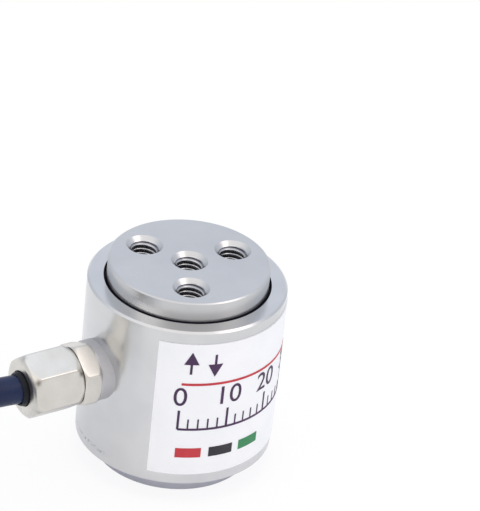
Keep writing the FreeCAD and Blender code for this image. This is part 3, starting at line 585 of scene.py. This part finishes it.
def hexagon_piece(node, outline, corner_turn):
    """A hexagon bar turned to an outline, in place of a CAD node.

    At each angle the hexagon's radius is the soft least of its six flats: flat / (sum of cosines to a power) to
    the power's root. Each point of the outline keeps the soft least of its own radius and the hexagon's, so the
    corners and the edges of the turned faces come out a little rounded.
    """
    angle = np.linspace(0, FULL_TURN, HEX_STATIONS, endpoint=False)
    normals = math.radians(corner_turn + HEX_HALF_DEGREES) + HEX_SIDES
    facing = np.clip(np.cos(angle[:, None] - normals), 0, 1)
    hexagon = HEX_FLAT / (facing**EDGE_BLEND).sum(axis=1) ** (1 / EDGE_BLEND)
    distance, radius = divided(outline, OUTLINE_STEP)
    radius = (radius[:, None] ** -EDGE_BLEND + hexagon**-EDGE_BLEND) ** (-1 / EDGE_BLEND)
    distance = distance[:, None] + angle * 0
    points = np.stack([-distance, radius * np.sin(angle), GLAND_HEIGHT + radius * np.cos(angle)], axis=-1)
    how = {"replaces": [node], "sharp": HEX_SHARP_DEGREES}
    return surface(f"{node}_rounded", [closed(points)], "nickel_plate", **how)


def bevel(face, inwards, depth, length):
    """Two points of a turned bevel, run on past the hexagon's corner, from the inner one outwards."""
    slope = (depth + BEYOND) / depth
    return [(face, HEX_CORNER - depth), (face + inwards * length * slope, HEX_CORNER + BEYOND)]


def nose_arc(tip):
    """The nut's nose: an arc from its face towards the flats, run on until it is level with the axis. Its centre lies
    off the middle of the chord from the face's edge to the hexagon's corner, as far as the bend's radius asks."""
    back, out = tip - NOSE_LENGTH, HEX_CORNER
    chord = math.hypot(NOSE_LENGTH, out - NUT_FACE)
    rise = math.sqrt(NOSE_BEND**2 - chord**2 / 4) / chord
    centre = (tip + back) / 2 - rise * (out - NUT_FACE), (out + NUT_FACE) / 2 - rise * NOSE_LENGTH
    start = math.atan2(tip - centre[0], NUT_FACE - centre[1])
    angles = np.linspace(start, 0, NOSE_STATIONS)
    return [(centre[0] + NOSE_BEND * math.sin(a), centre[1] + NOSE_BEND * math.cos(a)) for a in angles]


body_start, body_end = -span("gland_body", X)[1], -span("gland_body", X)[0]
hex_start = -span("cable_boss", X)[0]
nut_start, nut_end = -span("gland_nut", X)[1], -span("gland_nut", X)[0]
hex_end = nut_start - NUT_GAP
seat_end = body_end - SEAT_DEPTH
hexagon_piece(
    "gland_body",
    [(body_start, CABLE_BORE), (body_start, GLAND_THREAD), (hex_start, GLAND_THREAD)]
    + bevel(hex_start, 1, HEX_EDGE, HEX_EDGE)
    + bevel(hex_end, -1, HEX_EDGE, HEX_EDGE)[::-1]
    + [(hex_end, GLAND_THREAD), (body_end, GLAND_THREAD), (body_end, SEAL_SEAT)]
    + [(seat_end, SEAL_SEAT), (seat_end, CABLE_BORE)],
    HEX_TURN,
)
shoulder = nut_end - NUT_FRONT
nut = hexagon_piece(
    "gland_nut",
    [(shoulder, GLAND_THREAD), (shoulder, MOUTH)]
    + [(nut_end - MOUTH_FLARE, MOUTH), (nut_end, MOUTH + MOUTH_FLARE)]
    + nose_arc(nut_end)
    + bevel(nut_start, 1, NUT_EDGE, NUT_EDGE_LENGTH)[::-1]
    + [(nut_start, GLAND_THREAD)],
    NUT_TURN,
)

# Rub marks at both ends of the nut's corners: bell curves along the nut and round it, each corner by its own share
RUB_ENDS = np.array([nut_start + 0.3, nut_end - 0.42])
RUB_ASIDE = np.array([-0.45, -0.25])
RUB_LENGTH = 0.26
RUB_WIDTH = 0.3
RUB_SHARES = np.array([0.3, 0.5, 0.2, 0.6, 0.35, 0.8])
nut_x, nut_y, nut_z = vertices_of(nut.data).T / MM
corner_turns = math.radians(NUT_TURN) + HEX_SIDES
rub_turn = np.arctan2(nut_y, nut_z - GLAND_HEIGHT) - corner_turns[:, None, None]
rub_turn = rub_turn - RUB_ASIDE[:, None] / HEX_CORNER
rub_turn = (rub_turn + math.pi) % FULL_TURN - math.pi
rub = (rub_turn * HEX_CORNER / RUB_WIDTH) ** 2 + ((-nut_x - RUB_ENDS[:, None]) / RUB_LENGTH) ** 2
darken(nut, (RUB_SHARES[:, None, None] * np.exp(-rub)).sum(axis=(0, 1)))


# Threads in the tapped holes of both ends
THREAD_PITCH = 0.5
THREAD_CREST = 1.23
THREAD_ROOT = 1.48
CREST_SHARE, FLANK_SHARE = 0.25, 0.6
THREAD_SHIFT = 0.12
THREAD_START = 0.43
THREAD_RUN_IN = 0.06
THREAD_STATIONS, THREAD_LEVELS = 72, 130
THREAD_SHARP_DEGREES = 60.0
HOLE_RADIUS = 1.499
COUNTERSINK = 1.86
HOLE_DEPTH = 4.4
BOLT_RADIUS = 5.1
BOLT_ANGLES = np.radians((0, 120, 240))
HOLE_PLACES = [(0.0, 0.0)] + [(BOLT_RADIUS * math.cos(a), BOLT_RADIUS * math.sin(a)) for a in BOLT_ANGLES]


def threads(name, face, inwards):
    """Internal threads of one end's four holes.

    At a depth and an angle the wall's radius is the larger of the countersink's cone, whose radius falls as the
    depth grows, and of the thread, which starts a little way down the cone: crest, flank, root and flank once in
    each pitch, moved on by a pitch a turn. The points deeper than the thread's start take painted shade, growing from
    the crest to the root.
    """
    angle = np.linspace(0, FULL_TURN, THREAD_STATIONS, endpoint=False)
    depth = np.linspace(COUNTERSINK - HOLE_RADIUS, HOLE_DEPTH, THREAD_LEVELS)
    phase = ((depth[:, None] - THREAD_SHIFT) / THREAD_PITCH + angle / FULL_TURN) % 1
    flank = np.clip((np.abs(2 * phase - 1) - CREST_SHARE) / FLANK_SHARE, 0, 1)
    flank = flank * np.clip((depth[:, None] - THREAD_START) / THREAD_RUN_IN, 0, 1)
    wall = THREAD_CREST + (THREAD_ROOT - THREAD_CREST) * flank
    wall = np.maximum(wall, COUNTERSINK - depth[:, None])
    radius = np.concatenate([wall, np.full((2, len(angle)), HOLE_RADIUS)])
    depth = np.concatenate([depth, depth[[-1, 0]]])[:, None] + angle * 0
    grids = [
        np.stack([x + radius * np.cos(angle), y + radius * np.sin(angle), face + inwards * depth], axis=-1)
        for x, y in HOLE_PLACES
    ]
    how = {"material": "cut_thread", "sharp": THREAD_SHARP_DEGREES}
    piece = surface(name, map(closed, grids), "stainless_turned", **how)
    x, y, z = vertices_of(piece.data).T / MM
    hole_x, hole_y = np.array(HOLE_PLACES).T[..., None]
    from_axis = np.hypot(x - hole_x, y - hole_y).min(axis=0)
    # painted shade in the thread's grooves: none at the crest, full at the root
    root_shade = (from_axis - THREAD_CREST) / (THREAD_ROOT - THREAD_CREST)
    darken(piece, root_shade * (np.abs(z - face) > THREAD_START))


threads("top_threads", span("spring_element", Z)[1], -1)
threads("base_threads", span("spring_element", Z)[0], 1)


# Print on the label: a load scale with its numbers, a red rule, the leads' colours and two arrows
LABEL_RADIUS = -span("label", Y)[0]
LABEL_FOOT = span("label", Z)[0]
LABEL_START = math.radians(223.0)
PRINT_HEIGHT = 0.03
STROKE_STEP = 0.4
STROKE_POINTS = 5


def on_label(along, up, out):
    """Places on the label: along it from its left end, up from its lower edge and out from its face."""
    angle = LABEL_START + along / LABEL_RADIUS
    radius = LABEL_RADIUS + out
    return np.stack([radius * np.cos(angle), radius * np.sin(angle), LABEL_FOOT + up], axis=-1)


def stroke(start, end, width, end_width=None):
    """A printed stroke from one place to another: its section, a thin loop, is carried along in short steps."""
    start, run = np.array(start), np.subtract(end, start)
    length = np.hypot(*run)
    share = np.linspace(0, 1, 2 + int(length / STROKE_STEP))[:, None]
    across = np.linspace(-0.5, 0.5, STROKE_POINTS)
    aside = np.concatenate([across, across[::-1]])
    aside = aside * (width + ((width if end_width is None else end_width) - width) * share)
    out = np.repeat([PRINT_HEIGHT, 0.0], STROKE_POINTS) + 0 * aside
    along = start[0] + run[0] * share - run[1] / length * aside
    up = start[1] + run[1] * share + run[0] / length * aside
    return on_label(along, up, out)


def numbers(name, words, centres, size, up):
    """Plain numbers set level on the label, each about its centre: their flat outlines, bent round the sleeve."""
    points, faces, first = [], [], 0
    for word, centre in zip(words, centres):
        text = bpy.data.curves.new(name, "FONT")
        text.body, text.size, text.align_x, text.extrude = word, size, "CENTER", PRINT_HEIGHT / 2
        holder = shown(name, text)
        flat = bpy.data.meshes.new_from_object(holder.evaluated_get(bpy.context.evaluated_depsgraph_get()))
        bpy.data.objects.remove(holder)
        along, rise, out = vertices_of(flat).T
        points.append(on_label(centre + along, up + rise, out + PRINT_HEIGHT / 2))
        corners = np.empty(len(flat.loops), np.int32)
        flat.loops.foreach_get("vertex_index", corners)
        starts = np.empty(len(flat.polygons), np.int32)
        flat.polygons.foreach_get("loop_start", starts)
        faces += [face.tolist() for face in np.split(first + corners, starts[1:])]
        first += len(along)
    return piece_of(name, np.concatenate(points), faces, "label_film", material="ink_violet")


SCALE_LEFT, SCALE_STEP, SCALE_STEPS = 2.6, 1.0, 25
SCALE_FOOT = 5.4
SCALE_WIDTH = 0.24
SCALE_MAJOR = 5
MAJOR_TICK, MINOR_TICK = (2.2, 0.24), (1.2, 0.16)
STEP_VALUE = 2
NUMBER_SIZE = 3.0
NUMBER_RISE = 2.8
scale_right = SCALE_LEFT + SCALE_STEP * SCALE_STEPS
marks = []
for step in range(SCALE_STEPS + 1):
    at = SCALE_LEFT + SCALE_STEP * step
    tall, wide = MINOR_TICK if step % SCALE_MAJOR else MAJOR_TICK
    marks.append(stroke((at, SCALE_FOOT), (at, SCALE_FOOT + tall), wide))
marks.append(stroke((SCALE_LEFT, SCALE_FOOT), (scale_right, SCALE_FOOT), SCALE_WIDTH))
surface("label_scale", marks, "label_film", material="ink_violet")
majors = np.arange(0, SCALE_STEPS + 1, SCALE_MAJOR)
number_words = [str(STEP_VALUE * n) for n in majors]
numbers("label_numbers", number_words, SCALE_LEFT + SCALE_STEP * majors, NUMBER_SIZE, SCALE_FOOT + NUMBER_RISE)

ARROWS = ((3.4, 1), (5.8, -1))
ARROW_MIDDLE = 13.0
SHAFT_HALF, SHAFT_WIDTH = 1.1, 0.24
HEAD_REACH, HEAD_BASE, HEAD_TIP = 1.4, 1.5, 0.04
shafts = [
    stroke((at, ARROW_MIDDLE - way * SHAFT_HALF), (at, ARROW_MIDDLE + way * SHAFT_HALF), SHAFT_WIDTH)
    for at, way in ARROWS
]
heads = [
    stroke((at, ARROW_MIDDLE), (at, ARROW_MIDDLE + way * HEAD_REACH), HEAD_BASE, HEAD_TIP) for at, way in ARROWS
]
surface("label_arrows", shafts + heads, "label_film", material="ink_violet")

RULE_UP, RULE_WIDTH = 10.7, 0.26
rule = stroke((SCALE_LEFT, RULE_UP), (scale_right, RULE_UP), RULE_WIDTH)
surface("label_rule", [rule], "label_film", material="ink_red")

FIELD_STEP, FIELD_LENGTH = 3.4, 2.6
FIELD_UP, FIELD_WIDTH = 2.6, 1.1
for place, ink in enumerate(("red", "black", "green")):
    left = SCALE_LEFT + FIELD_STEP * place
    field = stroke((left, FIELD_UP), (left + FIELD_LENGTH, FIELD_UP), FIELD_WIDTH)
    surface(f"label_field_{ink}", [field], "label_film", material=f"ink_{ink}")


# Cable tie: a band round the waist, its head on top and the cut end that stands out of it
TIE_WIDTH = 3.0
TIE_THICKNESS = 0.7
TIE_CORNER = 2.4
TIE_EDGE = 0.15
TIE_STATIONS = 10
HEAD_PLACE = -4.35
HEAD_LENGTH = 4.6
HEAD_WIDTH = 4.2
HEAD_EDGE = 0.5
HEAD_INSETS = [0, 0, 0.09, 0.3]
CUT_LENGTH = 1.0
CUT_WIDTH = 2.8
CUT_EDGE = 0.2
CUT_LEVELS = np.array([-0.5, 0.35, 0.4])
CUT_INSETS = [0, 0, 0.05]
BLOCK_STATIONS = 7


def quarters(stations):
    """Angles of four quarter turns that follow each other, each with both of its ends."""
    arc = np.radians(np.linspace(0, 90, stations))
    return np.concatenate([arc + quarter * QUARTER_TURN for quarter in range(4)])


def tie_band():
    """The band: a rounded-off rectangle as section, carried along a loop of four arcs and the runs between them."""
    reach = span("cable_tie", Y)[1] - TIE_CORNER
    angle = quarters(TIE_STATIONS)
    centre_y = np.repeat([reach, -reach, -reach, reach], TIE_STATIONS)
    centre_z = np.repeat([HANK_HEIGHT - TIE_CORNER, TIE_CORNER], 2 * TIE_STATIONS)
    half, edge, thick = TIE_WIDTH / 2, TIE_EDGE, TIE_THICKNESS
    across = np.array([half - edge, half, half, half - edge, edge - half, -half, -half, edge - half])
    inwards = np.array([0, edge, thick - edge, thick, thick, thick - edge, edge, 0])
    radius = TIE_CORNER - inwards
    y = centre_y[:, None] + radius * np.cos(angle)[:, None]
    z = centre_z[:, None] + radius * np.sin(angle)[:, None]
    return closed(np.stack([HANK_MIDDLE + across + 0 * y, y, z], axis=-1))


def rounded_block(length, width, levels, insets, bend):
    """A block with rounded upright edges: a rounded rectangle at each level, drawn in by that level's inset."""
    angle = quarters(BLOCK_STATIONS)
    side_x = np.repeat([1, -1, -1, 1], BLOCK_STATIONS) * (width / 2 - bend)
    side_y = np.repeat([1, 1, -1, -1], BLOCK_STATIONS) * (length / 2 - bend)
    radius = bend - np.array(insets)[:, None]
    x = HANK_MIDDLE + side_x + radius * np.cos(angle)
    y = HEAD_PLACE + side_y + radius * np.sin(angle)
    return np.stack([x, y, np.array(levels)[:, None] + 0 * x], axis=-1)


head_top = span("cable_tie", Z)[1]
head_levels = [HANK_HEIGHT - TIE_THICKNESS, head_top - HEAD_INSETS[-1], head_top - HEAD_INSETS[-2], head_top]
head = rounded_block(HEAD_LENGTH, HEAD_WIDTH, head_levels, HEAD_INSETS, HEAD_EDGE)
cut_end = rounded_block(CUT_LENGTH, CUT_WIDTH, head_top + CUT_LEVELS, CUT_INSETS, CUT_EDGE)
tie = surface("cable_tie_moulded", [tie_band(), head, cut_end], "tie_nylon", replaces=["cable_tie"])


# Stage: a white floor that takes a faint shadow, a pale surround and two soft boxes
FLOOR_METRES = 3.0
FLOOR_FIBRE = 2
FLOOR_TONES = "#f7f8fa", "#fbfbfc"
FLOOR_SHADE = "#dcdff8"
SHADE_FROM, SHADE_FULL = 9.6, 10.6
FAR_FROM, FAR_FULL = 28.0, 38.0
GLOW = 0.9
GLOW_IN_METAL = 0.4
GLOW_IN_METAL_BESIDE = 0.28
GLOW_IN_METAL_FAR = 0.45
half = FLOOR_METRES / 2
floor_corners = [(-half, -half, 0), (half, -half, 0), (half, half, 0), (-half, half, 0)]
floor_mesh = bpy.data.meshes.new("floor")
floor_mesh.from_pydata(floor_corners, [], [(0, 1, 2, 3)])
floor = shown("floor", floor_mesh)
# white paper: matt, with faint fibres, a painted bluish shadow beside the cell's foot, and a glow for the camera and
# for metal, weaker in metal beside the foot and stronger far off
paper, floor_place = started("white_paper")
fibre = add(paper, "ShaderNodeTexNoise", {"Vector": floor_place, "Scale": 1 / (FLOOR_FIBRE * MM)}).outputs[0]
sockets = {"Factor": fibre, "A": linear(FLOOR_TONES[0]), "B": linear(FLOOR_TONES[1])}
plain = add(paper, "ShaderNodeMix", sockets, data_type="RGBA").outputs["Result"]
away = add(paper, "ShaderNodeVectorMath", {0: floor_place}, operation="LENGTH").outputs["Value"]
beside = {"Value": away, "From Min": SHADE_FROM * MM, "From Max": SHADE_FULL * MM}
beyond = {"Value": away, "From Min": FAR_FROM * MM, "From Max": FAR_FULL * MM}
# painted bluish shadow on the floor beside the cell's foot
sockets = {"Factor": add(paper, "ShaderNodeMapRange", beside).outputs[0], "A": linear(FLOOR_SHADE), "B": plain}
shaded = add(paper, "ShaderNodeMix", sockets, data_type="RGBA").outputs["Result"]
matte = add(paper, "ShaderNodeBsdfDiffuse", {"Color": shaded}).outputs[0]
glow = add(paper, "ShaderNodeEmission", {"Color": linear("#ffffff"), "Strength": 1.0}).outputs[0]
beside |= {"To Min": GLOW_IN_METAL_BESIDE, "To Max": GLOW_IN_METAL}
beyond |= {"To Max": GLOW_IN_METAL_FAR}
near, far = [add(paper, "ShaderNodeMapRange", ramp).outputs[0] for ramp in (beside, beyond)]
lit = add(paper, "ShaderNodeMath", {0: near, 1: far}, operation="ADD").outputs[0]
rays = add(paper, "ShaderNodeLightPath", {}).outputs
mirrored = add(paper, "ShaderNodeMath", {0: rays["Is Glossy Ray"], 1: lit}, operation="MULTIPLY").outputs[0]
sockets = {0: rays["Is Camera Ray"], 1: GLOW, 2: mirrored}
share = add(paper, "ShaderNodeMath", sockets, operation="MULTIPLY_ADD").outputs[0]
mixed = add(paper, "ShaderNodeMixShader", {0: share, 1: matte, 2: glow}).outputs[0]
floor.data.materials.append(ended(paper, mixed))

# The surround is warm in front of the cell and cool behind it, and brighter overhead than at the horizon
FRONT = (-0.587, -0.810, 0.0)
WARM_REACH = 0.6
SURROUND_COOL, SURROUND_WARM = "#ecf1fb", "#f6f2f0"
RISE_FROM = 0.4
LEVEL_LOW, LEVEL_OVERHEAD = 0.905, 1.44
world = bpy.data.worlds.new("pale_surround")
world.use_nodes = True
world.node_tree.nodes.clear()
outwards = add(world, "ShaderNodeTexCoord", {}).outputs["Generated"]
forward = add(world, "ShaderNodeVectorMath", {0: outwards, 1: FRONT}, operation="DOT_PRODUCT").outputs["Value"]
ramp = {"Value": forward, "From Min": -WARM_REACH, "From Max": WARM_REACH}
warm = add(world, "ShaderNodeMapRange", ramp).outputs[0]
sockets = {"Factor": warm, "A": linear(SURROUND_COOL), "B": linear(SURROUND_WARM)}
tint = add(world, "ShaderNodeMix", sockets, data_type="RGBA").outputs["Result"]
upward = add(world, "ShaderNodeSeparateXYZ", {0: outwards}).outputs["Z"]
ramp = {"Value": upward, "From Min": RISE_FROM, "To Min": LEVEL_LOW, "To Max": LEVEL_OVERHEAD}
level = add(world, "ShaderNodeMapRange", ramp).outputs[0]
surround = add(world, "ShaderNodeBackground", {"Color": tint, "Strength": level})
add(world, "ShaderNodeOutputWorld", {"Surface": surround.outputs[0]})
scene.world = world

BOX_METRES_AWAY = 0.6


def lamp(name, towards, metres, radiance, colour):
    """A square soft box in a direction, that many metres wide and of that brightness, facing the cell."""
    data = bpy.data.lights.new(name, "AREA")
    data.size = metres
    data.energy = radiance * math.pi * metres * metres
    data.color = linear(colour)[:3]
    direction = np.array(towards) / np.linalg.norm(towards)
    facing = Matrix.Rotation(math.atan2(direction[1], direction[0]) + QUARTER_TURN, 4, "Z")
    tilt = Matrix.Rotation(math.acos(direction[2]), 4, "X")
    place = Matrix.Translation([*(direction * BOX_METRES_AWAY)])
    shown(name, data).matrix_world = place @ facing @ tilt


lamp("left_box", towards=(-0.91, -0.08, 0.40), metres=0.36, radiance=0.65, colour="#fffcf6")
lamp("right_box", towards=(0.40, -0.45, 0.80), metres=0.3, radiance=1.3, colour="#ffeee4")

scene.view_settings.view_transform = "Standard"
